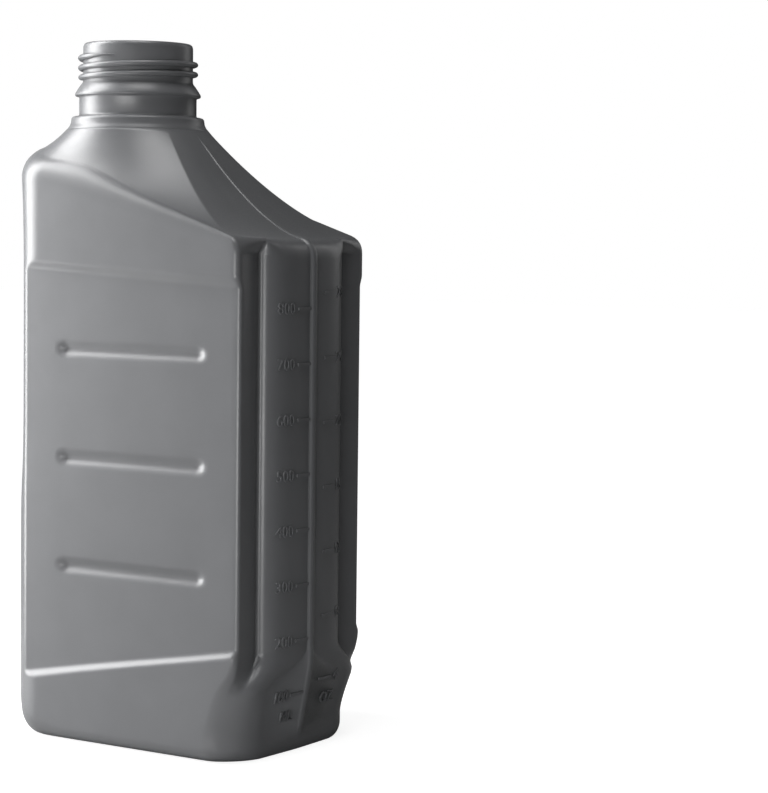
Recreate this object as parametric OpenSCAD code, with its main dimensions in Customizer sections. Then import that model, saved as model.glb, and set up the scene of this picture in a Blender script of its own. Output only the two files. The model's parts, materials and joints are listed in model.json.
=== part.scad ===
// Quart motor oil bottle, blown in one piece: offset threaded neck, two recessed label panels,
// a grooved grip end and a narrower end column that carries the raised seam and the scale.
// X runs from the grip end to the scale end, Z is up, and the origin is the middle of the base.

/* [Body] */
// Length over the raised seam, along X
body_length = 107.6; // [100:0.1:116]
// Depth across the two wide faces, along Y
body_depth = 67; // [60:0.5:74]
// Height from the base to the lip
bottle_height = 217.5; // [212:0.5:230]
// Wall of the blown body
wall = 1; // [0.8:0.1:1.2]
// Radius of the edge where the wide faces meet the base
base_edge = 4.2; // [3:0.2:5]
// Rise of the base inside its standing rim
base_rise = 2.4; // [1:0.2:4]
// Width of the standing rim
rim_width = 5; // [3:0.5:7]

/* [Grip end] */
// Radius of the grip end, seen from above
grip_radius = 31; // [29:0.5:33]
// Turn of that arc on each side of the seam
grip_turn = 43; // [38:1:48]
// Radius that leads the grip end into the wide faces
grip_corner = 14; // [10:1:18]
// How far the hand waist is pinched in at the seam
waist_depth = 1.8; // [0:0.2:3]
// Height of the middle of the hand waist
waist_height = 125; // [118:1:132]
// Half height of the hand waist
waist_reach = 58; // [50:1:62]

/* [Scale end] */
// Step from the wide faces' end wall to the end column, along X
column_step = 3.8; // [2:0.2:6]
// Half depth of the end column where it meets the end wall
column_depth = 18.5; // [16:0.5:22]
// Half depth of the flat of the end column
column_flat = 6.5; // [4:0.5:9]
// Radius between the wide faces and the end wall
face_corner = 2.8; // [1.5:0.1:4]
// Radius of the plain corner below the end column
heel_corner = 10.5; // [8:0.5:13]
// Growth of that radius from the heel down to the floor
heel_spread = 6; // [2:0.5:7]
// Height where the heel starts to lean inward
heel_height = 27; // [22:1:32]
// Lean of the heel, in degrees from upright
heel_lean = 11; // [6:0.5:14]
// Width of the raised seam on the end column
seam_width = 3.2; // [2:0.2:4]
// Height of the raised seam
seam_height = 1; // [0.4:0.1:1.5]

/* [Label panel] */
// Depth of the recessed label panel
panel_recess = 1.5; // [0.8:0.1:2.5]
// Height of the panel's lower edge below the neck's middle
panel_low = 22.4; // [18:0.2:28]
// Rise of the lower edge for each millimetre along X
panel_low_slope = 0.178; // [0.1:0.01:0.25]
// Height of the panel's upper edge below the neck's middle
panel_high = 147.2; // [143:0.2:150]
// Rise of the upper edge for each millimetre along X
panel_high_slope = -0.055; // [-0.1:0.005:0]
// Number of grooves across the label panel
panel_grooves = 3; // [0:1:3]
// Height of the lowest panel groove
panel_groove_low = 55; // [52:0.5:58]
// Height from one panel groove to the next
panel_groove_pitch = 33.6; // [24:0.2:34]
// Length of a panel groove
panel_groove_length = 56.4; // [40:0.2:62]
// Width of a panel groove
panel_groove_width = 5; // [3:0.1:6]
// Depth of every groove
groove_depth = 1.2; // [0.6:0.1:1.4]

/* [Grip grooves] */
// Number of grooves round the grip end
grip_grooves = 10; // [1:1:10]
// Height of the lowest grip groove
grip_groove_low = 72.9; // [72:0.5:78]
// Height from one grip groove to the next
grip_groove_pitch = 9.78; // [8.5:0.02:9.8]
// Width of a grip groove
grip_groove_width = 4.2; // [3:0.1:5]
// Turn from the seam to either end of the longest grip groove
grip_groove_turn = 43; // [30:1:44]
// Height where the grip grooves are longest
grip_groove_middle = 126; // [120:1:130]
// Half height of the oval that ends the grip grooves
grip_groove_oval = 57; // [54:1:66]

/* [Shoulder] */
// Height of the shoulder edge at the neck's middle
shoulder_edge = 175.2; // [172:0.2:178]
// Rise of the shoulder edge for each millimetre along X
shoulder_slope = -0.235; // [-0.28:0.005:-0.2]
// Rounding of the shoulder edge
shoulder_round = 5; // [3:0.5:6]
// Hollow of the shoulder, where 1 is straight
shoulder_hollow = 1.5; // [1:0.05:1.8]

/* [Neck] */
// Distance from the grip end to the neck's middle
neck_offset = 38.3; // [36:0.1:46]
// Radius of the collar at the root of the neck
collar_r = 21; // [20.5:0.1:22]
// Height of the top of the collar, below the lip
collar_drop = 23.2; // [22:0.1:25]
// Outer radius at the lip
lip_r = 17.3; // [17:0.1:18]
// Radius over the thread
thread_r = 18.6; // [18.2:0.1:19.2]
// Thread pitch
thread_pitch = 3.07; // [2.8:0.01:3.4]
// Turns of the thread
thread_turns = 2.28; // [1:0.02:2.4]
// Depth of the lower end of the thread below the lip
thread_drop = 11.2; // [10.4:0.1:11.6]
// Radius over the bead below the thread
bead_r = 19.85; // [19.2:0.05:20.3]
// Depth of the bead's flat underside below the lip
bead_drop = 16.7; // [16:0.1:17.5]
// Radius of the plain neck below the bead
root_r = 18.5; // [18.2:0.1:19]
// Radius of the bore
bore_r = 15.4; // [14.5:0.1:15.8]

/* [Hidden] */
$fn = 72;
eps = 0.01;

// Places along X, from the overall length and the neck's offset
x_grip = -body_length / 2;
x_end = body_length / 2 - seam_height;
x_wall = x_end - column_step;
neck_x = x_grip + neck_offset;
half_depth = body_depth / 2;

// Plan of the grip end: an arc, a straight flank and a corner arc, each as [x, y] for y above zero
grip_cx = x_grip + grip_radius;
flank_y = grip_radius * sin(grip_turn);
flank_x = grip_cx - grip_radius * cos(grip_turn);
corner_y = half_depth - grip_corner * (1 - sin(grip_turn));
corner_x = flank_x + (corner_y - flank_y) * tan(grip_turn);
corner_cx = corner_x + grip_corner * cos(grip_turn);
corner_cy = half_depth - grip_corner;
// Turn at which the recessed panel runs out through the corner arc
panel_turn = asin((half_depth - panel_recess - corner_cy) / grip_corner);

panel_x = corner_cx - grip_corner * cos(panel_turn);

// Turns at which the mesh has a column, from the seam of the grip end to the wide face
arc_turns = [for (i = [0:8]) grip_turn * i / 8];
corner_turns = [
    for (i = [0:2]) grip_turn + (panel_turn - grip_turn) * i / 2,
    for (i = [1:2]) panel_turn + (90 - panel_turn) * i / 2
];
face_end = x_wall - face_corner;
round_turns = [0, 45, 90];
column_turns = [0, 20, 42, 62, 80];
plain_steps = len(round_turns) + len(column_turns) + 1;

// Label panel grooves: their middle along X, and the places where the mesh follows their ends
panel_groove_x = neck_x + 23.2;
panel_groove_r = panel_groove_width / 2;
groove_stops = [1, 0.7, 0];

function grip_plan() = concat(
    [for (a = arc_turns) [grip_cx - grip_radius * cos(a), grip_radius * sin(a)]],
    [for (a = corner_turns) [corner_cx - grip_corner * cos(a), corner_cy + grip_corner * sin(a)]]
);
// Wide face up to x = last. Its points draw together where the corner after it starts early.
function face_plan(last) = let (
    room = min(1, (last - 1.5 - panel_groove_x) / (panel_groove_length / 2))
) [
    for (s = [-1, 1], t = s < 0 ? groove_stops : [0, 0.7, 1])
        [panel_groove_x + s * room * (panel_groove_length / 2 - panel_groove_r * (1 - t)), half_depth]
];
// Upper part of the scale end: end wall, inner corner, then the rounded end column
column_round = 4.4;
column_cx = x_end - column_round;
function column_plan() = concat(
    [for (a = round_turns) [face_end + face_corner * sin(a), half_depth - face_corner * (1 - cos(a))]],
    [[x_wall - 0.3, column_depth + 1.6]],
    [for (a = column_turns) [
        column_cx + (x_end - column_cx) * sin(a),
        column_flat + (column_depth - column_flat) * cos(a)
    ]]
);
// Lower part of the scale end: one plain corner of radius r with as many points
function plain_plan(r) = [
    for (i = [0:plain_steps - 1])
        let (a = 88 * i / (plain_steps - 1))
        [x_end - r + r * sin(a), half_depth - r * (1 - cos(a))]
];
// The raised seam: foot, shoulder and crest, lifted row by row
function seam_plan() = [for (y = [seam_width / 2, seam_width / 3, 0]) [x_end, y]];
upper_plan = concat(grip_plan(), face_plan(face_end), column_plan(), seam_plan());
function lower_plan(z) = let (
    r = heel_corner + heel_spread * smooth((heel_height - z) / (heel_height - heel_foot))
) concat(grip_plan(), face_plan(x_end - r), plain_plan(r), seam_plan());
columns = len(upper_plan);
seam_share = [for (i = [0:columns - 1]) i == columns - 1 ? 1 : i == columns - 2 ? 0.8 : 0];

function mix(a, b, t) = a + (b - a) * t;
function clamp01(t) = min(1, max(0, t));
function smooth(t) = let (u = clamp01(t)) u * u * (3 - 2 * u);
function norm_left(v) = let (n = norm(v)) n < eps ? [0, 0] : [-v.y, v.x] / n;

// Half plan as [x, y] at height z, inset from the outer skin by inset, and by backing more behind
// the grip grooves
function plan(z, inset, backing) = let (
    low = lower_plan(z),
    p = [for (i = [0:columns - 1]) mix(low[i], upper_plan[i], column_share(z))],
    n = columns - 1
) [
    for (i = [0:n]) let (
        before = i == 0 ? [p[1].x, -p[1].y] : p[i - 1],
        after = i == n ? [p[n - 1].x, -p[n - 1].y] : p[i + 1],
        out = norm_left(after - before),
        d = inset + backing * smooth((corner_cx - p[i].x) / grip_corner * 1.3)
    ) [p[i].x - d * out.x, i == 0 || i == n ? 0 : p[i].y - d * out.y]
];

// Heights that follow the slanted edges
function edge_z(x) = let (d = x - neck_x) shoulder_edge + shoulder_slope * d - 0.0007 * d * d;
function panel_low_z(x) = panel_low + panel_low_slope * (x - neck_x);
function panel_high_z(x) = panel_high + panel_high_slope * (x - neck_x);
function panel_groove_z(i) = panel_groove_low + i * panel_groove_pitch;
function slot_z(i) = grip_groove_low + i * grip_groove_pitch;
// Pinch of the grip end and lean of the heel, both along X
function waist(z) = waist_depth * smooth(1.6 * (1 - abs(z - waist_height) / waist_reach));
function waist_share(x) = smooth((corner_cx - x) / (corner_cx - x_grip));
function lean(z) = tan(heel_lean) * max(0, heel_height - max(z, heel_foot));
function lean_share(x) = smooth((x - x_end + 22) / 18);

// Depth of a groove of half width r at a distance d from its middle line
function cut(d, r) = groove_depth * max(0, 1 - d * d / (r * r));
function panel_cut(x, z, spread) = let (
    past = max(0, abs(x - panel_groove_x) - panel_groove_length / 2 + panel_groove_r),
    cuts = [
        for (i = [0:1:panel_grooves - 1])
            cut(norm([past, z - panel_groove_z(i)]), panel_groove_r + spread)
    ]
) max(concat(cuts, 0));
// Turn of either end of grip groove i: the ends lie on an oval
function slot_turn(i) = let (h = (slot_z(i) - grip_groove_middle) / grip_groove_oval)
    grip_groove_turn * sqrt(max(1 - h * h, 0.05));
function grip_cut(column, z) = column >= len(arc_turns) ? 0 : let (
    r = grip_groove_width / 2,
    reach = grip_radius * PI / 180,
    cuts = [
        for (i = [0:grip_grooves - 1])
            cut(norm([max(0, reach * (arc_turns[column] - slot_turn(i)) + r), z - slot_z(i)]), r)
    ]
) max(cuts);

heel_foot = 8;
step_low = 3;
step_high = 3.8;
panel_depth = half_depth - panel_recess;
column_foot = 20;
column_full = 32;
root_z = bottle_height - collar_drop - 4;
root_r_out = collar_r + 1.4;
throat_r = collar_r - wall - 0.6;
shoulder_start = 0.62;

function column_share(z) = smooth((z - column_foot) / (column_full - column_foot));
function seam_lift(i, z, inset) = inset > 0 ? 0 : seam_share[i] * seam_height * smooth((z - 5) / 3);

// One row round the walls. z_of gives its height along X, depth its half depth on the wide faces.
function wall_row(z_of, depth, inset, backing = 0) = let (
    p = plan(z_of(x_end), inset, backing)
) [
    for (i = [0:columns - 1]) let (
        z = z_of(p[i].x),
        x = p[i].x + waist(z) * waist_share(p[i].x) - lean(z) * lean_share(p[i].x) + seam_lift(i, z, inset),
        on_panel = depth == panel_depth && p[i].y > depth - inset - eps,
        grip = inset > 0 ? 0 : grip_cut(i, z),
        turn = grip > 0 ? arc_turns[i] : 0,
        y = min(p[i].y, depth - inset) - (on_panel ? panel_cut(p[i].x, z, inset / 2) : 0)
    ) [x + grip * cos(turn), y - grip * sin(turn), z]
];
// Row on the shoulder: t is 0 at the collar and 1 at the shoulder edge
function shoulder_point(p, t, root, inset) = let (
    out = [p.x - neck_x, p.y],
    reach = norm(out),
    r = mix(root, reach, t)
) [
    neck_x + out.x / reach * r,
    out.y / reach * r,
    mix(edge_z(p.x) - inset, root_z - inset, pow(1 - t, shoulder_hollow))
];
function shoulder_row(t, root, inset) = let (p = plan(shoulder_edge, inset, 0)) [
    for (i = [0:columns - 1]) let (
        q = shoulder_point(p[i], t, root, inset),
        seam = 0.7 * seam_lift(i, q.z, inset) * smooth((q.x - x_end + 10) / 9)
    ) q + [waist(q.z) * waist_share(q.x) * t + seam, 0, seam]
];
// Rounded shoulder edge between the wall and the shoulder, with u from 0 to 1
function edge_row(u, root, inset) = let (
    p = plan(shoulder_edge, inset, 0),
    c = max(shoulder_round - inset, 1)
) [
    for (i = [0:columns - 1]) let (
        z = edge_z(p[i].x) - inset,
        seam = seam_lift(i, z, inset),
        shift = [waist(z) * waist_share(p[i].x), 0, 0],
        low = [p[i].x, min(p[i].y, half_depth - inset), z - c] + shift,
        corner = [low.x, low.y, z],
        high = shoulder_point(p[i], 1 - c / (norm([p[i].x - neck_x, p[i].y]) - root), root, inset) + shift
    ) low * (1 - u) * (1 - u) + corner * 2 * u * (1 - u) + high * u * u
        + [mix(seam, seam * 0.7, u), 0, seam * 0.7 * u]
];

// Heights as functions of x
function flat(z) = function (x) z;
function low_edge(shift) = function (x) panel_low_z(x) + shift;
function high_edge(shift) = function (x) panel_high_z(x) + shift;
function under_edge(shift) = function (x) edge_z(x) - shift;
function between(low, high, t) = function (x) mix(low(x), high(x), t);

// Each grip groove has five rows. Past the grip end they turn to the height of what lies beside them
// on the wide face: a panel groove, the panel's upper step, the plate above it, or nothing.
groove_rows = [-0.5, -0.25, 0, 0.25, 0.5];
slots = 10;
step_slot = 8;
function face_share(x) = smooth((x - flank_x) / (panel_x - flank_x));
function partner(i) = [
    for (j = [0:1:panel_grooves - 1])
        let (d = panel_groove_z(j) - slot_z(i))
        if (d > -grip_groove_pitch / 2 && d <= grip_groove_pitch / 2) j
];
function beside(i, t) =
    i == step_slot ? high_edge(step_high * t)
    : i > step_slot ? between(high_edge(step_high / 2), under_edge(shoulder_round), 0.5 + 0.5 * t)
    : len(partner(i)) > 0 ? flat(panel_groove_z(partner(i)[0]) + panel_groove_width * t)
    : function (x) min(slot_z(i), panel_high_z(x) - step_high / 2 - 3 * (step_slot - i)) + t;
function slot_row(i, t) = let (face = beside(i, t)) wall_row(
    function (x) mix(slot_z(i) + grip_groove_width * t, face(x), face_share(x)),
    i < step_slot ? panel_depth : i > step_slot ? half_depth : mix(panel_depth, half_depth, smooth(t + 0.5)),
    0
);

// Rows of the rounded edge round the base, fuller under the grip end and tighter under the heel
function edged_row(a) = [
    for (q = wall_row(flat(base_edge * (1 - cos(a))), half_depth, 0)) let (
        inset = base_edge * (1 - sin(a)),
        in_x = inset * (q.x > 0 ? mix(1, 0.15, smooth(q.x / x_end * 1.1)) : mix(1, 1.9, smooth(q.x / x_grip)))
    ) [q.x * (1 - in_x / (body_length / 2)), q.y * (1 - inset / half_depth), q.z]
];
// Outer rows from the hollow under the base up to the collar
function base_row(z, inset) = [
    for (q = edged_row(0)) [
        q.x * (1 - inset / (body_length / 2 - base_edge)),
        q.y * (1 - inset / (half_depth - base_edge)),
        z
    ]
];
function outer_rows() = concat(
    [base_row(base_rise, rim_width + 1.5), base_row(0, rim_width)],
    [for (a = [0, 30, 60]) edged_row(a)],
    [for (t = [0, 0.5, 1]) wall_row(between(flat(base_edge), low_edge(-step_low / 2), t), half_depth, 0)],
    [wall_row(low_edge(step_low / 2), panel_depth, 0)],
    [for (j = [0:1:panel_grooves - 1]) if (panel_groove_z(j) < slot_z(0) - grip_groove_pitch / 2)
        for (t = groove_rows) wall_row(flat(panel_groove_z(j) + panel_groove_width * t), panel_depth, 0)],
    [for (i = [0:slots - 1], t = groove_rows) slot_row(i, t)],
    [for (u = [0, 0.25, 0.5, 0.75]) edge_row(u, root_r_out, 0)],
    [for (i = [0:6]) shoulder_row(shoulder_start * (1 - i / 6), root_r_out, 0)]
);
// Inner rows from the throat down to the floor
function inner_rows() = concat(
    [for (h = [wall, 0]) [for (q = shoulder_row(0, throat_r, wall)) [q.x, q.y, q.z + h]]],
    [for (t = [0.33, 0.67, 1]) shoulder_row(shoulder_start * t, throat_r, wall)],
    [for (u = [0.5, 0]) edge_row(u, throat_r, wall)],
    [wall_row(under_edge(shoulder_round + 3), half_depth, wall, groove_depth / 2)],
    [wall_row(high_edge(step_high / 2), half_depth, wall, groove_depth)],
    [wall_row(high_edge(-step_high / 2), panel_depth, wall, groove_depth)],
    [for (j = [panel_grooves - 1:-1:0], t = [0.6, 0, -0.6])
        wall_row(flat(panel_groove_z(j) + panel_groove_width * t), panel_depth, wall, groove_depth)],
    [wall_row(low_edge(step_low / 2), panel_depth, wall)],
    [for (t = [1, 0.5, 0])
        wall_row(between(flat(base_rise + wall + base_edge), low_edge(-step_low / 2), t), half_depth, wall)],
    [wall_row(flat(base_rise + wall), half_depth, wall + base_edge)]
);

// Closes a stack of half rows, mirrored in Y, into one solid
module lofted(rows) {
    n = len(rows[0]);
    ring = 2 * n - 2;
    m = len(rows);
    points = [for (r = rows) each concat(
        [for (i = [0:n - 1]) [r[i].x, -r[i].y, r[i].z]],
        [for (i = [n - 2:-1:1]) r[i]]
    )];
    sides = [
        for (j = [0:m - 2], i = [0:ring - 1]) let (k = (i + 1) % ring) each [
            [j * ring + i, (j + 1) * ring + i, (j + 1) * ring + k],
            [j * ring + i, (j + 1) * ring + k, j * ring + k]
        ]
    ];
    polyhedron(
        points,
        concat(sides, [[for (i = [0:ring - 1]) i]], [[for (i = [ring - 1:-1:0]) (m - 1) * ring + i]])
    );
}

// Neck turned in one profile: collar, plain root, bead and lip outside, throat and bore inside
module neck() {
    top = bottle_height;
    collar_z = top - collar_drop;
    under = top - bead_drop;
    translate([neck_x, 0, 0]) rotate_extrude() polygon([
        [throat_r - 0.5, root_z - 0.8],
        [collar_r + 1, root_z - 0.8],
        [collar_r + 1, root_z],
        [collar_r, root_z + 1.8],
        [collar_r, collar_z - 1.2],
        [collar_r - 0.4, collar_z - 0.4],
        [collar_r - 1.2, collar_z],
        [root_r, collar_z + 1],
        [root_r, under],
        [bead_r - 0.2, under],
        [bead_r, under + 0.4],
        [lip_r, under + 4],
        [lip_r, top - 0.8],
        [lip_r - 0.3, top - 0.2],
        [lip_r - 0.8, top],
        [bore_r, top],
        [bore_r, collar_z],
        [throat_r - 0.5, root_z]
    ]);
}

// Buttress thread: sloped above, nearly flat below, with both ends run out into the neck
thread_steps = 28;
thread_start = 185;
module thread() {
    n = round(thread_turns * thread_steps);
    sunk = 0.4;
    root = lip_r - sunk;
    low = bottle_height - thread_drop;
    runout = 3;
    sections = [
        for (i = [0:n]) let (
            a = thread_start + 360 * i / thread_steps,
            grown = smooth(min(i, n - i) / runout),
            crest = mix(lip_r - sunk / 2, thread_r, grown),
            z = low + thread_pitch * i / thread_steps,
            profile = [[root, -0.6], [crest, -0.3], [crest, 0.1], [root, 1.6]]
        ) [for (q = profile) [q.x * cos(a), q.x * sin(a), z + q.y]]
    ];
    m = 4;
    translate([neck_x, 0, 0]) polyhedron(
        [for (s = sections) each s],
        concat(
            [for (i = [0:n - 1], k = [0:m - 1]) let (l = (k + 1) % m) each [
                [i * m + k, i * m + l, (i + 1) * m + l],
                [i * m + k, (i + 1) * m + l, (i + 1) * m + k]
            ]],
            [[for (k = [m - 1:-1:0]) k]],
            [[for (k = [0:m - 1]) n * m + k]]
        )
    );
}

module bottle() {
    color([0.42, 0.42, 0.43]) {
        lofted(concat(outer_rows(), inner_rows()));
        neck();
        thread();
    }
}

bottle();
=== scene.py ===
# Grey quart oil bottle of blown HDPE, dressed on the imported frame
import json
import math
import bpy
import numpy as np
from mathutils import Matrix

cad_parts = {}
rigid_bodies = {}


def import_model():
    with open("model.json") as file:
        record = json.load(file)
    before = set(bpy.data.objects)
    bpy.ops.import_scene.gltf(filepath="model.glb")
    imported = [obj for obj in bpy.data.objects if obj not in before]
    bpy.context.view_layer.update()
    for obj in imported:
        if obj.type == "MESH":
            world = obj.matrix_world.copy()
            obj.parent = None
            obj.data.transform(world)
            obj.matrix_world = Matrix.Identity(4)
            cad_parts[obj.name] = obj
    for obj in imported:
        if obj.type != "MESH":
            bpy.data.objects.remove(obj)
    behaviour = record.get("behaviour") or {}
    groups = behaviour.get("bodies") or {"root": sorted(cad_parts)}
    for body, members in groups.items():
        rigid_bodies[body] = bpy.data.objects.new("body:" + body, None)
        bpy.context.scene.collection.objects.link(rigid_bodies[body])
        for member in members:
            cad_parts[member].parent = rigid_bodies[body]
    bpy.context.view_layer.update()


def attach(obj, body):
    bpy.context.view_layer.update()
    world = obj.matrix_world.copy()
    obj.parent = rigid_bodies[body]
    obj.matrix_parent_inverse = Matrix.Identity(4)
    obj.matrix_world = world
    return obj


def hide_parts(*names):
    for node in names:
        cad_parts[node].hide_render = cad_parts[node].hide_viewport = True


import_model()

mm = 0.001


def srgb(hexCode):
    parts = [int(hexCode[i:i + 2], 16) / 255 for i in (1, 3, 5)]
    linear = [c / 12.92 if c <= 0.04045 else ((c + 0.055) / 1.055) ** 2.4 for c in parts]
    return (*linear, 1.0)


def addNode(tree, kind, settings=None, inputs=None):
    node = tree.nodes.new(kind)
    for name, value in (settings or {}).items():
        setattr(node, name, value)
    for key, value in (inputs or {}).items():
        if isinstance(value, bpy.types.NodeSocket):
            tree.links.new(value, node.inputs[key])
        else:
            node.inputs[key].default_value = value
    return node


def mathNode(tree, operation, *values):
    return addNode(tree, "ShaderNodeMath", {"operation": operation}, dict(enumerate(values))).outputs[0]


def addPiece(name, points=(), faces=()):
    mesh = bpy.data.meshes.new(name)
    mesh.from_pydata(points, [], faces)
    mesh.polygons.foreach_set("use_smooth", [True] * len(faces))
    piece = bpy.data.objects.new(name, mesh)
    bpy.context.scene.collection.objects.link(piece)
    return piece


def smooth(t):
    u = np.clip(t, 0, 1)
    return u * u * (3 - 2 * u)


def mix(a, b, t):
    return a + (b - a) * t


def mouldedHdpe():
    # HDPE blown against a sand-blasted mould: satin, never mirror-like, with a fine pebbled grain
    # that breaks up the highlights, and a slight unevenness where the wall cooled.
    look = {
        "colour": "#6a6b6d",
        "shade": "#626365",
        "roughness": 0.35,
        "grainMm": 0.55,      # the real pebble is about 0.2 mm: drawn coarser so that it shows
        "ripplesMm": 14.0,
    }
    mat = bpy.data.materials.new("moulded HDPE")
    mat.use_nodes = True
    tree = mat.node_tree
    tree.nodes.clear()
    place = addNode(tree, "ShaderNodeTexCoord")
    grain = addNode(tree, "ShaderNodeTexNoise", None, {
        "Vector": place.outputs["Object"], "Scale": 1 / (look["grainMm"] * mm),
        "Detail": 2.0, "Roughness": 0.6})
    ripples = addNode(tree, "ShaderNodeTexNoise", None, {
        "Vector": place.outputs["Object"], "Scale": 1 / (look["ripplesMm"] * mm), "Detail": 2.0})
    tint = addNode(tree, "ShaderNodeMix", {"data_type": "RGBA"}, {
        0: ripples.outputs["Fac"], 6: srgb(look["colour"]), 7: srgb(look["shade"])})
    gloss = addNode(tree, "ShaderNodeMapRange", None, {
        "Value": grain.outputs["Fac"], "From Min": 0.3, "From Max": 0.7,
        "To Min": look["roughness"] - 0.05, "To Max": look["roughness"] + 0.07})
    pebble = addNode(tree, "ShaderNodeBump", None, {
        "Height": grain.outputs["Fac"], "Strength": 0.35, "Distance": 0.06 * mm})
    sag = addNode(tree, "ShaderNodeBump", None, {
        "Height": ripples.outputs["Fac"], "Strength": 0.25, "Distance": 0.35 * mm,
        "Normal": pebble.outputs["Normal"]})
    skin = addNode(tree, "ShaderNodeBsdfPrincipled", None, {
        "Base Color": tint.outputs[2], "Roughness": gloss.outputs["Result"], "IOR": 1.54,
        "Specular IOR Level": 0.5, "Normal": sag.outputs["Normal"]})
    addNode(tree, "ShaderNodeOutputMaterial", None, {"Surface": skin.outputs["BSDF"]})
    return mat


hdpe = mouldedHdpe()


body = {
    "length": 107.6, "halfDepth": 33.5, "neckX": -15.5,
    "gripRadius": 31.0, "gripTurn": 43.0, "gripCorner": 14.0,
    "waistDepth": 1.8, "waistHeight": 125.0, "waistReach": 58.0,
    "columnStep": 3.8, "columnDepth": 20.2, "columnFlat": 6.0, "columnRound": 5.2, "valley": 1.6,
    "faceCorner": 1.8, "heelCorner": 10.5, "heelSpread": 4.0, "heelCrown": 0.6,
    "heelHeight": 27.0, "heelFoot": 8.0, "heelLean": 11.0,
    "columnFrom": 20.0, "columnTo": 32.0,
    "columnSquare": 0.86,     # below 1 the column's shoulder is squarer than an ellipse
    "seamWidth": 3.2, "seamHeight": 1.0,
    "panelRecess": 1.5, "panelLow": 22.4, "panelLowSlope": 0.178, "stepLow": 3.0,
    "panelHigh": 147.2, "panelHighSlope": -0.055, "stepHigh": 3.8,
    "edge": 175.2, "edgeSlope": -0.235, "edgeRound": 5.0, "shoulderHollow": 1.6,
    "collarR": 21.0, "collarTop": 194.3, "rootZ": 190.3,
    "baseEdge": 4.2, "gripBase": 9.5, "baseRise": 2.4, "rimWidth": 5.0,
    "wall": 1.0, "insideLow": 8.5,
}
xGrip = -body["length"] / 2
xEnd = body["length"] / 2 - body["seamHeight"]
xWall = xEnd - body["columnStep"]
gripCx = xGrip + body["gripRadius"]
turn = math.radians(body["gripTurn"])
flankX = gripCx - body["gripRadius"] * math.cos(turn)
flankY = body["gripRadius"] * math.sin(turn)
cornerCy = body["halfDepth"] - body["gripCorner"]
cornerX = flankX + (cornerCy + body["gripCorner"] * math.sin(turn) - flankY) * math.tan(turn)
cornerCx = cornerX + body["gripCorner"] * math.cos(turn)
panelTurn = math.asin((body["halfDepth"] - body["panelRecess"] - cornerCy) / body["gripCorner"])
panelX = cornerCx - body["gripCorner"] * math.cos(panelTurn)
faceEnd = xWall - body["faceCorner"]
columnCx = xEnd - body["columnRound"]


def arc(cx, cy, rx, ry, fromDeg, toDeg, count, skipFirst=True):
    # Points of an elliptical arc: 0 degrees faces the grip end, 90 degrees faces the wide side
    angles = np.radians(np.linspace(fromDeg, toDeg, count + 1))[1 if skipFirst else 0:]
    return np.stack([cx - rx * np.cos(angles), cy + ry * np.sin(angles)], 1)


def line(a, b, count):
    t = np.linspace(0, 1, count + 1)[1:, None]
    return np.array(a) * (1 - t) + np.array(b) * t


def halfPlan():
    # Half outline from the grip end's seam round the wide face to the scale end's seam: grip and
    # face, the end with its column, the angles of the plain end under it, and the seam bead
    h, r = body["halfDepth"], body["gripCorner"]
    grip = np.concatenate([
        arc(gripCx, 0, body["gripRadius"], body["gripRadius"], 0, body["gripTurn"], 34, False),
        line((flankX, flankY), (cornerX, cornerCy + r * math.sin(turn)), 8),
        arc(cornerCx, cornerCy, r, r, body["gripTurn"], math.degrees(panelTurn), 6),
        arc(cornerCx, cornerCy, r, r, math.degrees(panelTurn), 90, 7),
        line((cornerCx, h), (faceEnd, h), 56),
    ])
    valley = (xWall - body["valley"], body["columnDepth"] + 0.8)
    across = body["columnDepth"] - body["columnFlat"]
    bend = np.radians(np.linspace(6, 90, 15))
    upper = np.concatenate([
        arc(faceEnd, h - body["faceCorner"], body["faceCorner"], body["faceCorner"], 90, 178, 8),
        line((xWall, h - body["faceCorner"]), (valley[0] + 0.35, valley[1] + 1.2), 7),
        line((valley[0] + 0.35, valley[1] + 1.2), valley, 2),
        line(valley, (columnCx + 0.15, body["columnDepth"]), 2),
        [[columnCx + body["columnRound"] * math.sin(a) ** body["columnSquare"],
          body["columnFlat"] + across * math.cos(a) ** body["columnSquare"]] for a in bend],
        line((xEnd, body["columnFlat"]), (xEnd, body["seamWidth"] / 2 + 0.2), 5),
    ])
    steps = len(upper)
    angles = np.radians(88 * (np.arange(1, steps + 1) / steps) ** 0.8)
    bead = np.stack([np.full(6, xEnd), np.linspace(body["seamWidth"] / 2, 0, 6)], 1)
    return grip, upper, angles, bead


def fullerEnd(end):
    # The end's outline under the shoulder, where the valley beside the column has run out
    first, last = end[7], end[-12]
    t = np.clip((first[1] - end[:, 1]) / (first[1] - last[1]), 0, 1)
    bulge = mix(first[0], last[0], t) + 1.1 * np.sin(math.pi * t)
    return np.stack([np.where((end[:, 1] < first[1]) & (end[:, 1] > last[1]), bulge, end[:, 0]), end[:, 1]], 1)


gripPlan, upperEnd, lowerAngles, beadPlan = halfPlan()
upperPlan = np.concatenate([gripPlan, upperEnd, beadPlan])
columns = len(upperPlan)
firstEnd = len(gripPlan)
nominalX = upperPlan[:, 0].copy()
seamShare = np.zeros(columns)
seamShare[-6:] = np.sqrt(np.clip(1 - (beadPlan[:, 1] / (body["seamWidth"] / 2)) ** 2, 0, 1))


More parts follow.
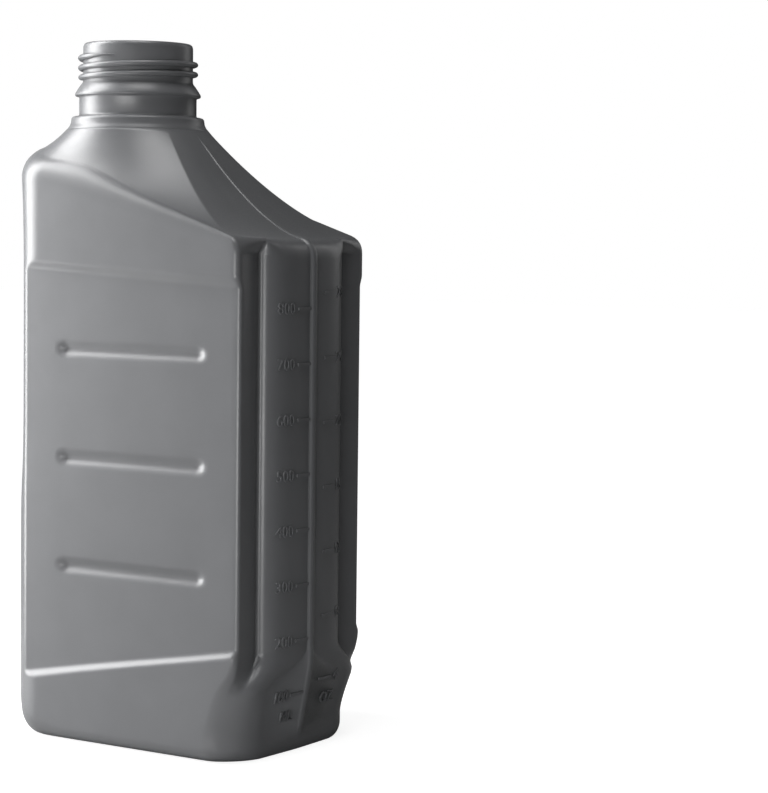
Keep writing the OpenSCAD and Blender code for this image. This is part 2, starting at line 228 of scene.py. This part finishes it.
def planAt(z):
    # z is an array of rows by columns: the outline at every point's own height
    full = smooth((z - body["columnFrom"]) / (body["columnTo"] - body["columnFrom"]))
    r = body["heelCorner"] + body["heelSpread"] * smooth(
        (body["heelHeight"] - z) / (body["heelHeight"] - body["heelFoot"]))
    x = np.broadcast_to(upperPlan[:, 0], z.shape).copy()
    y = np.broadcast_to(upperPlan[:, 1], z.shape).copy()
    # the wide face is shorter where the plain corner takes over
    room = (xEnd - r - cornerCx) / (faceEnd - cornerCx)
    squeezed = np.where(x > cornerCx, cornerCx + (x - cornerCx) * room, x)
    x[:, :firstEnd] = mix(squeezed, x, full)[:, :firstEnd]
    end = slice(firstEnd, firstEnd + len(upperEnd))
    rEnd = r[:, end]
    plainX = xEnd - rEnd + rEnd * np.sin(lowerAngles)
    plainY = body["halfDepth"] - rEnd * (1 - np.cos(lowerAngles))
    # at the heel the end face bulges, so that it falls back towards both corners
    plainX = plainX - body["heelCrown"] * (plainY / 20 * np.sin(lowerAngles)) ** 2 * smooth(
        (body["heelHeight"] - z[:, end]) / (body["heelHeight"] - body["heelFoot"]))
    last = lowerAngles > np.radians(87)
    plainY = np.where(last, np.minimum(plainY, body["halfDepth"] - rEnd), plainY)
    x[:, end] = mix(plainX, x[:, end], full[:, end])
    y[:, end] = mix(plainY, y[:, end], full[:, end])
    return x, y


def outward(x, y):
    before = np.stack([np.roll(x, 1, 1), np.roll(y, 1, 1)])
    after = np.stack([np.roll(x, -1, 1), np.roll(y, -1, 1)])
    before[0][:, 0], before[1][:, 0] = x[:, 1], -y[:, 1]
    after[0][:, -1], after[1][:, -1] = x[:, -2], -y[:, -2]
    d = after - before
    size = np.maximum(np.hypot(d[0], d[1]), 1e-9)
    return -d[1] / size, d[0] / size


def edgeZ(x):
    d = x - body["neckX"]
    return body["edge"] + body["edgeSlope"] * d - 0.0007 * d * d


def lowZ(x):
    return body["panelLow"] + body["panelLowSlope"] * (x - body["neckX"])


def highZ(x):
    return body["panelHigh"] + body["panelHighSlope"] * (x - body["neckX"])


def waist(z):
    return body["waistDepth"] * smooth(1.6 * (1 - abs(z - body["waistHeight"]) / body["waistReach"]))


def shiftX(x, z):
    lean = math.tan(math.radians(body["heelLean"])) * np.maximum(
        0, body["heelHeight"] - np.maximum(z, body["heelFoot"]))
    return waist(z) * smooth((cornerCx - x) / (cornerCx - xGrip)) - lean * smooth((x - xEnd + 22) / 18)


def panelShare(x, z):
    up = smooth((z - lowZ(x)) / body["stepLow"] + 0.5)
    return up * (1 - smooth((z - highZ(x)) / body["stepHigh"] + 0.5))


def wallRows(z, inset):
    # Rows round the walls, from each point's height
    x, y = planAt(z)
    nx, ny = outward(x, y)
    recess = body["panelRecess"] * panelShare(nominalX, z)
    roundOff = np.zeros(columns)
    roundOff[firstEnd:firstEnd + 17] = np.linspace(1, 0, 17)
    y = np.minimum(y, np.where(np.arange(columns) < firstEnd, body["halfDepth"] - recess, 99.0))
    y = y - recess * roundOff
    x = x + shiftX(x, z)
    if inset == 0:
        x = x + seamShare * body["seamHeight"] * smooth((z - 5) / 3)
    ny[:, 0] = ny[:, -1] = 0
    return np.stack([x - inset * nx, y - inset * ny, z], 2)


def shoulderPoint(x, y, t, root, inset):
    dx = x - body["neckX"]
    reach = np.hypot(dx, y)
    r = mix(root, reach, t)
    z = mix(edgeZ(x) - inset, body["rootZ"] - inset, (1 - t) ** body["shoulderHollow"])
    return np.stack([body["neckX"] + dx / reach * r, y / reach * r, z], -1)


def topPlan(inset, filled=True):
    # The outline under the shoulder, as one row
    z = np.full((1, columns), body["edge"])
    x, y = planAt(z)
    if filled:
        x[0, firstEnd:firstEnd + len(upperEnd)] = fullerEnd(upperEnd)[:, 0]
    nx, ny = outward(x, y)
    ny[:, 0] = ny[:, -1] = 0
    return (x - inset * nx)[0], (y - inset * ny)[0]


def gripRound(x):
    # The shoulder's edge is rounder at the grip end
    return 2.5 * smooth((-x - 25) / 25)


def edgeRows(us, root, inset):
    # The rounded shoulder edge, as a parabola between the wall and the shoulder
    x, y = topPlan(inset)
    c = max(body["edgeRound"] - inset, 1) + gripRound(nominalX)
    z = edgeZ(nominalX) - inset
    shift = waist(z) * smooth((cornerCx - x) / (cornerCx - xGrip))
    lift = seamShare * body["seamHeight"] * (1 if inset == 0 else 0)
    low = np.stack([topPlan(inset, False)[0] + shift, y, z - c], 1)
    corner = np.stack([x + shift, y, z], 1)
    reach = np.hypot(x - body["neckX"], y)
    high = shoulderPoint(x, y, 1 - c / (reach - root), root, inset) + np.stack([shift, 0 * x, 0 * x], 1)
    rows = []
    for u in us:
        p = low * (1 - u) ** 2 + corner * 2 * u * (1 - u) + high * u * u
        p[:, 0] += lift * mix(1, 0.5, u)
        p[:, 2] += lift * 0.6 * u
        rows.append(p)
    return np.array(rows)


def shoulderRows(ts, root, inset):
    x, y = topPlan(inset)
    c = max(body["edgeRound"] - inset, 1) + gripRound(nominalX)
    start = 1 - c / (np.hypot(x - body["neckX"], y) - root)
    flash = 0.35 * np.clip(seamShare * (1.2 - seamShare) * 4, 0, 1) * (1 if inset == 0 else 0)
    crest = seamShare * 0.55 * (1 if inset == 0 else 0)
    rows = []
    for t in ts:
        p = shoulderPoint(x, y, start * t, root, inset)
        p[:, 0] += waist(p[:, 2]) * smooth((cornerCx - x) / (cornerCx - xGrip)) * t
        lift = mix(flash, crest, smooth((t - 0.8) / 0.2)) * smooth(t * 6)
        p[:, 0] += 0.5 * lift
        p[:, 2] += 0.8 * lift
        rows.append(p)
    return np.array(rows)


def heightRows():
    # Heights of the wall rows: (at the grip end, on the wide faces). They bunch at the grooves.
    def level(z):
        return lambda x: np.full_like(x, z)
    g, p = gripGrooves, panelGrooves
    stepRung = g["count"] - 2     # the grip groove whose rows follow the panel's top step
    stops = [(baseTall, None, 0), (lambda x: lowZ(x) - 1.8, None, 16), (lambda x: lowZ(x) + 1.8, None, 7)]
    stops += [(level(p["low"] - 3.2), None, 14), (level(p["low"] + 3.2), None, 11)]
    for i in range(g["count"]):
        mid = g["low"] + i * g["pitch"]
        levels = [p["low"] + j * p["pitch"] for j in range(p["count"])]
        near = [z for z in levels if abs(z - mid) < g["pitch"] / 2]
        for side, count in ((-1, 4 if i else 7), (1, 9)):
            grip = mid + side * g["width"] * 0.62
            if i == stepRung:
                face = lambda x, side=side: highZ(x) + side * 2.4
            elif i > stepRung:
                face = lambda x, side=side: mix(highZ(x) + 2.4, edgeZ(x) - body["edgeRound"], 0.45 + 0.3 * side)
            elif near:
                face = level(near[0] + side * 3.2)
            else:
                face = lambda x, mid=mid, side=side, i=i: np.minimum(
                    mid, highZ(x) - body["stepHigh"] / 2 - 3 * (stepRung - i)) + side * 0.9
            stops.append((level(grip), face, count))
    stops.append((lambda x: edgeZ(x) - body["edgeRound"] - gripRound(x), None, 10))
    share = smooth((nominalX - flankX) / (panelX - flankX))
    rows, last = [], None
    for grip, face, count in stops:
        z = mix(grip(nominalX), (face or grip)(nominalX), share)
        if last is None:
            rows.append(z)
        else:
            rows += [mix(last, z, k / count) for k in range(1, count + 1)]
        last = z
    return np.array(rows)


gripGrooves = {"count": 10, "low": 72.9, "pitch": 9.78, "width": 4.2, "depth": 1.2,
               "turn": 43.0, "middle": 126.0, "oval": 57.0}
panelGrooves = {"count": 3, "low": 55.0, "pitch": 33.6, "width": 5.0, "depth": 1.2,
                "middleX": body["neckX"] + 23.2, "length": 56.4}


def baseTall(x):
    # Height of the rounded edge round the base: it grows towards the grip end
    return mix(body["baseEdge"], body["gripBase"], smooth((-x - 12) / 36))


def edgedRows(turns):
    rows = []
    for a in turns:
        z = (baseTall(nominalX) * (1 - math.cos(a)))[None]
        p = wallRows(z, 0)[0]
        inset = body["baseEdge"] * (1 - math.sin(a))
        ends = np.where(p[:, 0] > 0, mix(1, 0.3, smooth(p[:, 0] / xEnd * 1.1)),
                        mix(1, 1.6, smooth(p[:, 0] / xGrip)))
        p[:, 0] *= 1 - inset * ends / (body["length"] / 2)
        p[:, 1] *= 1 - inset / body["halfDepth"]
        rows.append(p)
    return np.array(rows)


def scaledRow(inset, z):
    p = edgedRows([0])[0]
    p[:, 0] *= 1 - inset / (body["length"] / 2 - body["baseEdge"])
    p[:, 1] *= 1 - inset / (body["halfDepth"] - body["baseEdge"])
    p[:, 2] = z
    return p[None]


def outerRows():
    root = body["collarR"] + 1.4
    rim, rise = body["rimWidth"], body["baseRise"]
    under = [scaledRow(rim + more, z) for more, z in (
        (14, rise + 0.4), (3, rise), (1.5, rise * 0.8), (0.4, 0.4), (0, 0))]
    return np.concatenate(under + [
        edgedRows(np.radians(np.linspace(0, 80, 9))),
        wallRows(heightRows(), 0),
        edgeRows(np.linspace(0, 1, 10)[1:], root, 0),
        shoulderRows(np.linspace(1, 0, 32)[1:], root, 0),
    ])


def innerRows():
    w = body["wall"]
    root = body["collarR"] - w - 0.6
    throat = shoulderRows([0], root, w)
    top = throat.copy()
    top[:, :, 2] += w
    side = np.array([mix(np.full(columns, body["insideLow"]), edgeZ(nominalX) - body["edgeRound"] - 2, t)
                     for t in np.linspace(1, 0, 12)])
    floorRow = wallRows(np.full((1, columns), body["baseRise"] + w), w + body["baseEdge"])
    return np.concatenate([
        top, throat, shoulderRows([0.3, 0.6, 1], root, w), edgeRows([0.6, 0], root, w),
        wallRows(side, w + 0.6), floorRow])


def stackedMesh(name, rows):
    # Closes a stack of half rows, mirrored across the parting plane, into one skin
    count = len(rows)
    ring = np.concatenate([rows * [1, -1, 1], rows[:, -2:0:-1]], 1)
    width = ring.shape[1]
    faces = []
    for j in range(count - 1):
        a = j * width
        for i in range(width):
            k = (i + 1) % width
            faces.append((a + i, a + k, a + width + k, a + width + i))
    faces.append(tuple(range(width - 1, -1, -1)))
    faces.append(tuple((count - 1) * width + i for i in range(width)))
    return addPiece(name, (ring.reshape(-1, 3) * mm).tolist(), faces)


def newTree(name, inputs):
    tree = bpy.data.node_groups.new(name, "GeometryNodeTree")
    tree.interface.new_socket("Geometry", in_out="INPUT", socket_type="NodeSocketGeometry")
    tree.interface.new_socket("Geometry", in_out="OUTPUT", socket_type="NodeSocketGeometry")
    for label, kind in inputs.items():
        tree.interface.new_socket(label, in_out="INPUT", socket_type=kind)
    return tree


def runTree(piece, tree, values):
    # Sets the inputs by identifier, keeps the result as a plain mesh and drops the modifier
    modifier = piece.modifiers.new(tree.name, "NODES")
    modifier.node_group = tree
    for item in tree.interface.items_tree:
        if item.item_type == "SOCKET" and item.in_out == "INPUT" and item.name in values:
            modifier[item.identifier] = values[item.name]
    piece.update_tag()
    bpy.context.view_layer.update()
    shown = piece.evaluated_get(bpy.context.evaluated_depsgraph_get())
    plain = bpy.data.meshes.new_from_object(shown)
    piece.modifiers.remove(modifier)
    piece.data = plain
    return piece


def grooveTree(name, roundGrip):
    # Presses a ladder of round-ended grooves into the skin. Along is measured on the wide face, or
    # round the grip end's arc where the ends lie on an oval.
    tree = newTree(name, {label: "NodeSocketFloat" for label in (
        "Count", "Low", "Pitch", "Width", "Depth", "Length", "Centre", "Radius", "Middle", "Oval", "Inside")})
    given = addNode(tree, "NodeGroupInput").outputs
    where = addNode(tree, "GeometryNodeInputPosition")
    xyz = addNode(tree, "ShaderNodeSeparateXYZ", None, {0: where.outputs[0]}).outputs

    def step(operation, *values):
        return mathNode(tree, operation, *values)

    rung = step("ROUND", step("DIVIDE", step("SUBTRACT", xyz["Z"], given["Low"]), given["Pitch"]))
    rung = step("MAXIMUM", step("MINIMUM", rung, step("SUBTRACT", given["Count"], 1.0)), 0.0)
    mid = step("MULTIPLY_ADD", rung, given["Pitch"], given["Low"])
    dz = step("SUBTRACT", xyz["Z"], mid)
    dx = step("SUBTRACT", xyz["X"], given["Centre"])
    half = step("MULTIPLY", given["Width"], 0.5)
    if roundGrip:
        angle = step("ARCTAN2", step("ABSOLUTE", xyz["Y"]), step("MULTIPLY", dx, -1.0))
        along = step("MULTIPLY", angle, given["Radius"])
        tall = step("DIVIDE", step("SUBTRACT", mid, given["Middle"]), given["Oval"])
        oval = step("SQRT", step("MAXIMUM", step("SUBTRACT", 1.0, step("MULTIPLY", tall, tall)), 0.05))
        reach = step("MULTIPLY", given["Length"], oval)
    else:
        along = step("ABSOLUTE", dx)
        reach = step("MULTIPLY", given["Length"], 0.5)
    past = step("MAXIMUM", step("SUBTRACT", along, step("SUBTRACT", reach, half)), 0.0)
    far = step("ADD", step("MULTIPLY", past, past), step("MULTIPLY", dz, dz))
    t = step("SQRT", step("DIVIDE", far, step("MULTIPLY", half, half)))
    # a cosine section: soft lips, round floor
    bell = step("MULTIPLY_ADD", step("COSINE", step("MULTIPLY", step("MINIMUM", t, 1.0), math.pi)), 0.5, 0.5)
    deep = step("MULTIPLY", bell, given["Depth"])
    if roundGrip:
        out = addNode(tree, "ShaderNodeCombineXYZ", None, {"X": dx, "Y": xyz["Y"]})
        way = addNode(tree, "ShaderNodeVectorMath", {"operation": "NORMALIZE"}, {0: out.outputs[0]}).outputs[0]
        outSquared = step("ADD", step("MULTIPLY", dx, dx), step("MULTIPLY", xyz["Y"], xyz["Y"]))
        shell = step("GREATER_THAN", step("SQRT", outSquared), given["Inside"])
        shell = step("MULTIPLY", shell, step("LESS_THAN", dx, 0.0))
    else:
        side = addNode(tree, "ShaderNodeCombineXYZ", None, {"Y": step("SIGN", xyz["Y"])})
        way = side.outputs[0]
        shell = step("GREATER_THAN", step("ABSOLUTE", xyz["Y"]), given["Inside"])
    push = addNode(tree, "ShaderNodeVectorMath", {"operation": "SCALE"}, {
        0: way, "Scale": step("MULTIPLY", step("MULTIPLY", deep, shell), -1.0)})
    pressed = addNode(tree, "GeometryNodeSetPosition", None, {
        "Geometry": given["Geometry"], "Offset": push.outputs[0]})
    coloured = addNode(tree, "GeometryNodeSetMaterial", None, {
        "Geometry": addNode(tree, "GeometryNodeRealizeInstances", None, {0: pressed.outputs[0]}).outputs[0],
        "Material": hdpe})
    addNode(tree, "NodeGroupOutput", None, {"Geometry": coloured.outputs[0]})
    return tree


def makeBody():
    piece = stackedMesh("bottle_body", np.concatenate([outerRows(), innerRows()]))
    g, p = gripGrooves, panelGrooves
    runTree(piece, grooveTree("panel grooves", False), {
        "Count": p["count"], "Low": p["low"] * mm, "Pitch": p["pitch"] * mm, "Width": (p["width"] + 1) * mm,
        "Depth": p["depth"] * mm, "Length": (p["length"] + 1) * mm, "Centre": p["middleX"] * mm,
        "Inside": (body["halfDepth"] - body["panelRecess"] - 0.4) * mm})
    runTree(piece, grooveTree("grip grooves", True), {
        "Count": g["count"], "Low": g["low"] * mm, "Pitch": g["pitch"] * mm, "Width": (g["width"] + 1) * mm,
        "Depth": g["depth"] * mm, "Length": (body["gripRadius"] * math.radians(g["turn"]) + 0.5) * mm,
        "Centre": (gripCx + 1.2) * mm, "Radius": body["gripRadius"] * mm, "Middle": g["middle"] * mm,
        "Oval": g["oval"] * mm, "Inside": (body["gripRadius"] - 2.2) * mm})
    print("body:", len(piece.data.vertices), "points")
    return piece


bottleBody = makeBody()


neck = {
    "lip": 217.5, "lipR": 17.3, "boreR": 15.4, "beadR": 19.85, "beadUnder": 200.8, "rootR": 18.5,
    "threadR": 18.6, "pitch": 3.07, "turns": 2.28, "threadLow": 206.3, "startDeg": 185.0,
}


def neckProfile():
    # (radius, height) outside from the collar up to the lip, then down the bore
    collar, root, bead = body["collarR"], neck["rootR"], neck["beadR"]
    lip, bore = neck["lipR"], neck["boreR"]
    collarTop, under, top = body["collarTop"], neck["beadUnder"], neck["lip"]
    parts = [
        (collarTop, [(collar + 1.35, -4.4), (collar + 1.2, -3.8), (collar + 0.55, -3.0), (collar + 0.15, -2.1),
                     (collar, -1.1), (collar - 0.1, -0.5), (collar - 0.45, -0.1), (collar - 1.0, 0.1),
                     (root + 0.35, 0.25), (root + 0.05, 0.5), (root, 1.0)]),
        (under, [(root, -0.6), (root + 0.15, -0.2), (bead - 0.35, -0.05), (bead - 0.08, 0.15), (bead, 0.5),
                 (bead - 0.15, 0.95), (bead - 0.9, 2.2), (bead - 1.8, 3.5), (lip + 0.25, 4.1), (lip + 0.04, 4.6),
                 (lip, 5.2)]),
        (top, [(lip, -1.6), (lip - 0.08, -0.9), (lip - 0.35, -0.35), (lip - 0.8, -0.05), (lip - 1.2, 0),
               (bore + 0.35, -0.05), (bore + 0.08, -0.3), (bore, -0.7)]),
        (under, [(bore, 5.2)]),
        (collarTop, [(bore, 0.7), (bore + 0.6, -0.7), (18.2, -3.3), (18.9, -4.4)]),
    ]
    return [(r, level + dz) for level, points in parts for r, dz in points]


def turned(name, profile, segments):
    angles = np.linspace(0, 2 * math.pi, segments, endpoint=False)
    points = [((body["neckX"] + r * math.cos(a)) * mm, r * math.sin(a) * mm, z * mm)
              for r, z in profile for a in angles]
    rings = len(profile)
    faces = []
    for j in range(rings):
        nxt = (j + 1) % rings
        for i in range(segments):
            k = (i + 1) % segments
            faces.append((j * segments + i, j * segments + k, nxt * segments + k, nxt * segments + i))
    return addPiece(name, points, faces)


def threadTree():
    # A rounded ridge swept along a helix, thinned at both ends
    tree = newTree("neck thread", {
        "Radius": "NodeSocketFloat", "Pitch": "NodeSocketFloat", "Turns": "NodeSocketFloat",
        "Start": "NodeSocketFloat", "Ridge": "NodeSocketFloat", "Centre": "NodeSocketVector"})
    given = addNode(tree, "NodeGroupInput").outputs

    helix = addNode(tree, "GeometryNodeCurveSpiral", None, {
        "Resolution": 96, "Rotations": given["Turns"],
        "Start Radius": given["Radius"], "End Radius": given["Radius"],
        "Height": mathNode(tree, "MULTIPLY", given["Turns"], given["Pitch"]), "Reverse": True})
    along = addNode(tree, "GeometryNodeSplineParameter").outputs["Factor"]
    toEnd = mathNode(tree, "MINIMUM", along, mathNode(tree, "SUBTRACT", 1.0, along))
    grown = addNode(tree, "ShaderNodeMapRange", {"interpolation_type": "SMOOTHSTEP"}, {
        "Value": toEnd, "From Min": 0.0, "From Max": 0.055, "To Min": 0.12, "To Max": 1.0}).outputs["Result"]
    upright = addNode(tree, "GeometryNodeSetCurveNormal", {"mode": "Z_UP"}, {"Curve": helix.outputs[0]})
    sized = addNode(tree, "GeometryNodeSetCurveRadius", None, {"Curve": upright.outputs[0], "Radius": grown})
    section = addNode(tree, "GeometryNodeCurvePrimitiveCircle", None, {
        "Resolution": 14, "Radius": given["Ridge"]})
    flat = addNode(tree, "GeometryNodeTransform", None, {
        "Geometry": section.outputs[0], "Scale": (1.0, 0.72, 1.0)})
    ridge = addNode(tree, "GeometryNodeCurveToMesh", None, {
        "Curve": sized.outputs[0], "Profile Curve": flat.outputs[0], "Fill Caps": True})
    if "Scale" in ridge.inputs:
        tree.links.new(grown, ridge.inputs["Scale"])
    turnBy = addNode(tree, "ShaderNodeCombineXYZ", None, {"Z": given["Start"]})
    placed = addNode(tree, "GeometryNodeTransform", None, {
        "Geometry": ridge.outputs[0], "Translation": given["Centre"], "Rotation": turnBy.outputs[0]})
    soft = addNode(tree, "GeometryNodeSetShadeSmooth", None, {0: placed.outputs[0]})
    coloured = addNode(tree, "GeometryNodeSetMaterial", None, {
        "Geometry": addNode(tree, "GeometryNodeRealizeInstances", None, {0: soft.outputs[0]}).outputs[0],
        "Material": hdpe})
    addNode(tree, "NodeGroupOutput", None, {"Geometry": coloured.outputs[0]})
    return tree


def makeNeck():
    collar = turned("bottle_neck", neckProfile(), 160)
    collar.data.materials.append(hdpe)
    ridge = addPiece("neck_thread")
    runTree(ridge, threadTree(), {
        "Radius": (neck["threadR"] - 1.0) * mm, "Pitch": neck["pitch"] * mm, "Turns": neck["turns"],
        "Start": math.radians(neck["startDeg"]), "Ridge": 1.35 * mm,
        "Centre": (body["neckX"] * mm, 0.0, neck["threadLow"] * mm)})
    print("thread:", len(ridge.data.vertices), "points")
    return collar, ridge


bottleNeck, neckThread = makeNeck()


scale = {
    "mlTop": 135.85, "mlStep": 16.79, "mlCount": 8, "mlFrom": -0.5, "mlTo": -7.9,
    "ozTop": 140.5, "ozStep": 19.88, "ozCount": 7, "ozFrom": 6.1, "ozTo": 12.6,
    "bar": 0.9, "raised": 0.45, "figureTall": 3.6, "figureRaised": 0.3,
    "mlFigures": -13.0, "ozFigures": 15.8, "mlUnit": (-8.5, 11.6), "ozUnit": (12.5, 14.6),
}


def columnX(y, z):
    # The end column's surface, also below its foot where the plain heel takes over
    x = np.interp(np.abs(y), upperEnd[::-1, 1], upperEnd[::-1, 0])
    full = smooth((z - body["columnFrom"]) / (body["columnTo"] - body["columnFrom"]))
    x = mix(np.full_like(x, xEnd), x, full)
    return x + shiftX(x, z)


def laidOn(piece, lift):
    # Lays a flat piece, drawn in y and z, on the column: its own x becomes the height above the skin
    for v in piece.data.vertices:
        y, z = v.co.y / mm, v.co.z / mm
        v.co.x = (float(columnX(np.array([y]), np.array([z]))[0]) + v.co.x / mm + lift) * mm


def tickTree():
    tree = newTree("scale ticks", {
        "Count": "NodeSocketInt", "Step": "NodeSocketVector",
        "Top": "NodeSocketVector", "Size": "NodeSocketVector"})
    given = addNode(tree, "NodeGroupInput").outputs
    ladder = addNode(tree, "GeometryNodeMeshLine", {"mode": "OFFSET"}, {
        "Count": given["Count"], "Start Location": given["Top"], "Offset": given["Step"]})
    bar = addNode(tree, "GeometryNodeMeshCube", None, {
        "Size": given["Size"], "Vertices X": 2, "Vertices Y": 9, "Vertices Z": 3})
    bars = addNode(tree, "GeometryNodeInstanceOnPoints", None, {
        "Points": ladder.outputs[0], "Instance": bar.outputs[0]})
    coloured = addNode(tree, "GeometryNodeSetMaterial", None, {
        "Geometry": addNode(tree, "GeometryNodeRealizeInstances", None, {0: bars.outputs[0]}).outputs[0],
        "Material": hdpe})
    addNode(tree, "NodeGroupOutput", None, {"Geometry": coloured.outputs[0]})
    return tree


def makeTicks(name, side):
    piece = addPiece(name)
    a, b = scale[side + "From"], scale[side + "To"]
    runTree(piece, tickTree(), {
        "Count": scale[side + "Count"], "Step": (0.0, 0.0, -scale[side + "Step"] * mm),
        "Top": (0.0, (a + b) / 2 * mm, scale[side + "Top"] * mm),
        "Size": (2 * scale["raised"] * mm, abs(b - a) * mm, scale["bar"] * mm)})
    laidOn(piece, 0)
    return piece


def makeFigure(name, text, y, z):
    # A raised figure, read from outside: its left is towards -Y
    curve = bpy.data.curves.new(name, "FONT")
    curve.body = text
    curve.size = scale["figureTall"] * 1.38 * mm     # a capital is 1 / 1.38 of Blender's text size
    curve.align_x, curve.align_y = "CENTER", "CENTER"
    curve.extrude = scale["figureRaised"] * mm
    curve.resolution_u = 3
    drawn = bpy.data.objects.new(name + "_drawn", curve)
    bpy.context.scene.collection.objects.link(drawn)
    bpy.context.view_layer.update()
    mesh = bpy.data.meshes.new_from_object(drawn.evaluated_get(bpy.context.evaluated_depsgraph_get()))
    bpy.data.objects.remove(drawn)
    piece = bpy.data.objects.new(name, mesh)
    bpy.context.scene.collection.objects.link(piece)
    mesh.transform(Matrix(((0, 0, 1, 0), (1, 0, 0, y * mm), (0, 1, 0, z * mm), (0, 0, 0, 1))))
    mesh.materials.clear()
    mesh.materials.append(hdpe)
    laidOn(piece, 0.05)
    return piece


def makeScale():
    pieces = [makeTicks("scale_ticks_ml", "ml"), makeTicks("scale_ticks_oz", "oz")]
    for i in range(scale["mlCount"]):
        z = scale["mlTop"] - i * scale["mlStep"]
        pieces.append(makeFigure(f"figure_ml_{8 - i}", str(800 - 100 * i), scale["mlFigures"], z))
    for i in range(scale["ozCount"]):
        z = scale["ozTop"] - i * scale["ozStep"]
        pieces.append(makeFigure(f"figure_oz_{i}", str(28 - 4 * i), scale["ozFigures"], z))
    pieces.append(makeFigure("unit_ml", "ML", *scale["mlUnit"]))
    pieces.append(makeFigure("unit_oz", "OZ", *scale["ozUnit"]))
    print("scale:", len(pieces), "pieces")
    return pieces


scalePieces = makeScale()

for piece in [bottleBody, bottleNeck, neckThread] + scalePieces:
    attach(piece, "root")
    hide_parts("bottle")


def paleFloor():
    # Matt white paper. The camera's own rays see it brighter, and fully white away from the bottle,
    # where it meets the white room; round the bottle the shadow stays.
    paper = {"colour": "#a8a8a8", "near": 0.86, "far": 1.0, "fadeFrom": 0.12, "fadeTo": 0.7, "halfSize": 4.0}
    mat = bpy.data.materials.new("white paper")
    mat.use_nodes = True
    tree = mat.node_tree
    tree.nodes.clear()
    seen = addNode(tree, "ShaderNodeLightPath")
    place = addNode(tree, "ShaderNodeTexCoord")
    away = addNode(tree, "ShaderNodeVectorMath", {"operation": "LENGTH"}, {0: place.outputs["Object"]})
    level = addNode(tree, "ShaderNodeMapRange", {"interpolation_type": "SMOOTHSTEP"}, {
        "Value": away.outputs["Value"], "From Min": paper["fadeFrom"], "From Max": paper["fadeTo"],
        "To Min": paper["near"], "To Max": paper["far"]})
    matt = addNode(tree, "ShaderNodeBsdfDiffuse", None, {"Color": srgb(paper["colour"])})
    glow = addNode(tree, "ShaderNodeEmission", None, {
        "Color": (1, 1, 1, 1),
        "Strength": addNode(tree, "ShaderNodeMath", {"operation": "MULTIPLY"}, {
            0: seen.outputs["Is Camera Ray"], 1: level.outputs["Result"]}).outputs[0]})
    both = addNode(tree, "ShaderNodeAddShader", None, {0: matt.outputs[0], 1: glow.outputs[0]})
    addNode(tree, "ShaderNodeOutputMaterial", None, {"Surface": both.outputs[0]})
    s = paper["halfSize"]
    floor = addPiece("floor", [(-s, -s, 0), (s, -s, 0), (s, s, 0), (-s, s, 0)], [(0, 1, 2, 3)])
    floor.data.materials.append(mat)
    return floor


paleFloor()

studio = {"key": 2.1, "front": 2.4, "top": 3.0, "back": 0.6, "world": 0.03}


def softbox(name, power, size, location, target):
    lamp = bpy.data.lights.new(name, "AREA")
    lamp.shape = "RECTANGLE"
    lamp.size, lamp.size_y = size
    lamp.energy = power
    holder = bpy.data.objects.new(name, lamp)
    holder.location = location
    holder.visible_camera = False
    aim = Matrix.Translation(target).translation - holder.location
    holder.rotation_euler = aim.to_track_quat("-Z", "Y").to_euler()
    bpy.context.scene.collection.objects.link(holder)
    return holder


softbox("key softbox", studio["key"], (0.12, 0.45), (-0.2, -0.092, 0.2), (0, 0, 0.12))
softbox("low front softbox", studio["front"], (0.4, 0.15), (0.14, -0.6, 0.05), (0, 0, 0.06))
softbox("top softbox", studio["top"], (0.4, 0.4), (0.1, -0.1, 0.9), (0, 0, 0.15))
softbox("back softbox", studio["back"], (0.3, 0.6), (0.25, 0.8, 0.4), (0, 0, 0.1))

world = bpy.data.worlds.new("white room")
bpy.context.scene.world = world
world.use_nodes = True
worldTree = world.node_tree
worldTree.nodes.clear()
worldRay = addNode(worldTree, "ShaderNodeLightPath")
worldLevel = addNode(worldTree, "ShaderNodeMix", {"data_type": "FLOAT"}, {
    0: worldRay.outputs["Is Camera Ray"], 2: studio["world"], 3: 1.0})
worldGlow = addNode(worldTree, "ShaderNodeBackground", None, {
    "Color": (1, 1, 1, 1), "Strength": worldLevel.outputs[0]})
addNode(worldTree, "ShaderNodeOutputWorld", None, {"Surface": worldGlow.outputs[0]})

view = {"place": (0.4717, -0.6026, 0.1599), "yaw": 33.103, "down": 3.945, "roll": 0.683, "lens": 109.81}
cameraData = bpy.data.cameras.new("camera")
cameraData.sensor_width = 36.0
cameraData.lens = view["lens"]
camera = bpy.data.objects.new("camera", cameraData)
bpy.context.scene.collection.objects.link(camera)
camera.matrix_world = (
    Matrix.Translation(view["place"])
    @ Matrix.Rotation(math.radians(view["yaw"]), 4, "Z")
    @ Matrix.Rotation(math.radians(90 - view["down"]), 4, "X")
    @ Matrix.Rotation(math.radians(view["roll"]), 4, "Z")
)
bpy.context.scene.camera = camera
bpy.context.scene.view_settings.view_transform = "Standard"
print("stage, lamps and camera are set")
